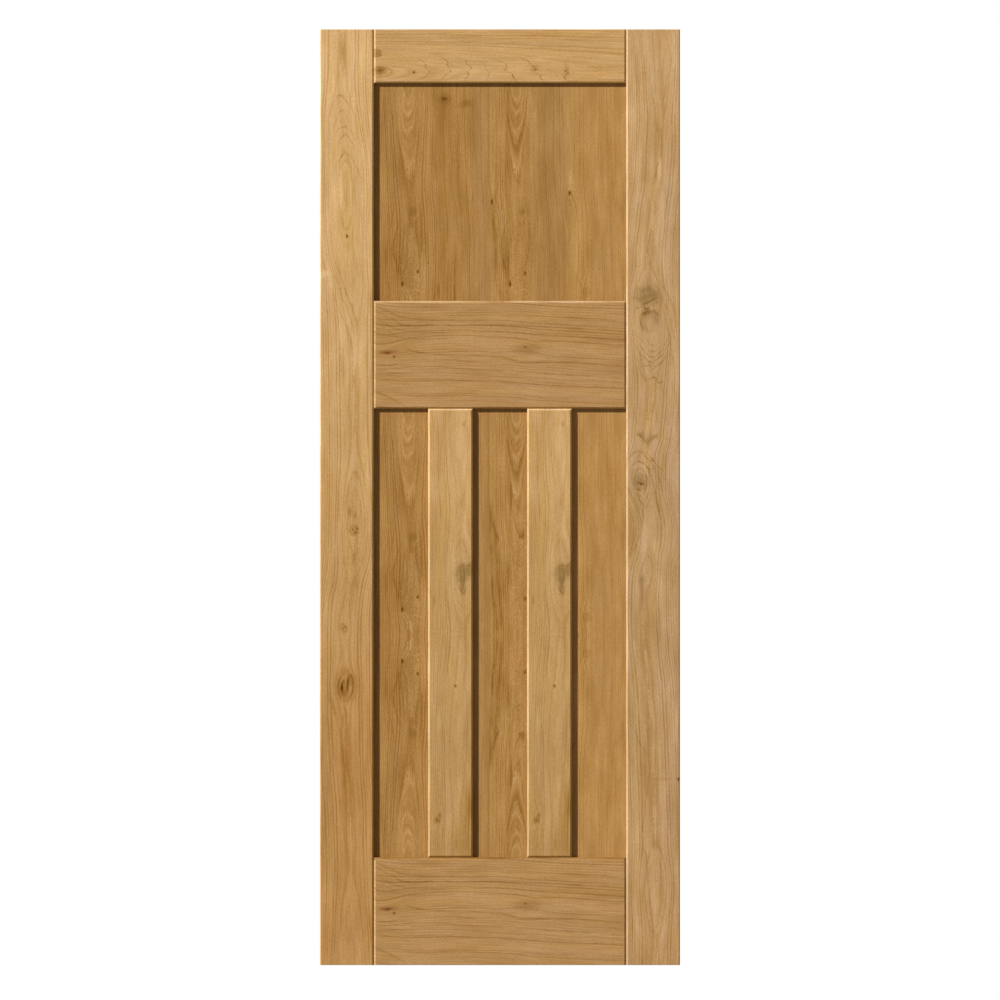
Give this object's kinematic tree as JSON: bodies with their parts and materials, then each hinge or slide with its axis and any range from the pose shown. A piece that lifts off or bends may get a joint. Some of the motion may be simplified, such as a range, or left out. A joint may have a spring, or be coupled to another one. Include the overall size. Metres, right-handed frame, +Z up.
{
  "type": "panelled door leaf",
  "caption": "Framed oak door leaf with a wide flat panel over a deep middle rail and tall flat panels between muntins below; unhung, with no frame, hinges or furniture.",
  "frame": {"origin": "middle of the leaf's bottom edge, at half its thickness", "axes": "+Z up along the stiles, +X across the leaf to the right as seen from the front, front face towards -Y"},
  "size_m": [0.762, 0.035, 1.981],
  "materials": {
    "stile_oak": "clear satin",
    "top_rail_oak": "clear satin",
    "rail_oak": "clear satin",
    "muntin_oak": "clear satin",
    "panel_oak": "clear satin",
    "dowel_beech": "bare fluted"
  },
  "bodies": {
    "root": {"left_stile": "stile_oak", "right_stile": "stile_oak", "top_rail": "top_rail_oak", "middle_rail": "rail_oak", "bottom_rail": "rail_oak", "left_muntin": "muntin_oak", "right_muntin": "muntin_oak", "top_panel": "panel_oak", "lower_left_panel": "panel_oak", "lower_centre_panel": "panel_oak", "lower_right_panel": "panel_oak", "top_rail_left_dowels": "dowel_beech", "top_rail_right_dowels": "dowel_beech", "middle_rail_left_dowels": "dowel_beech", "middle_rail_right_dowels": "dowel_beech", "bottom_rail_left_dowels": "dowel_beech", "bottom_rail_right_dowels": "dowel_beech", "left_muntin_upper_dowels": "dowel_beech", "left_muntin_lower_dowels": "dowel_beech", "right_muntin_upper_dowels": "dowel_beech", "right_muntin_lower_dowels": "dowel_beech"}
  },
  "joints": []
}
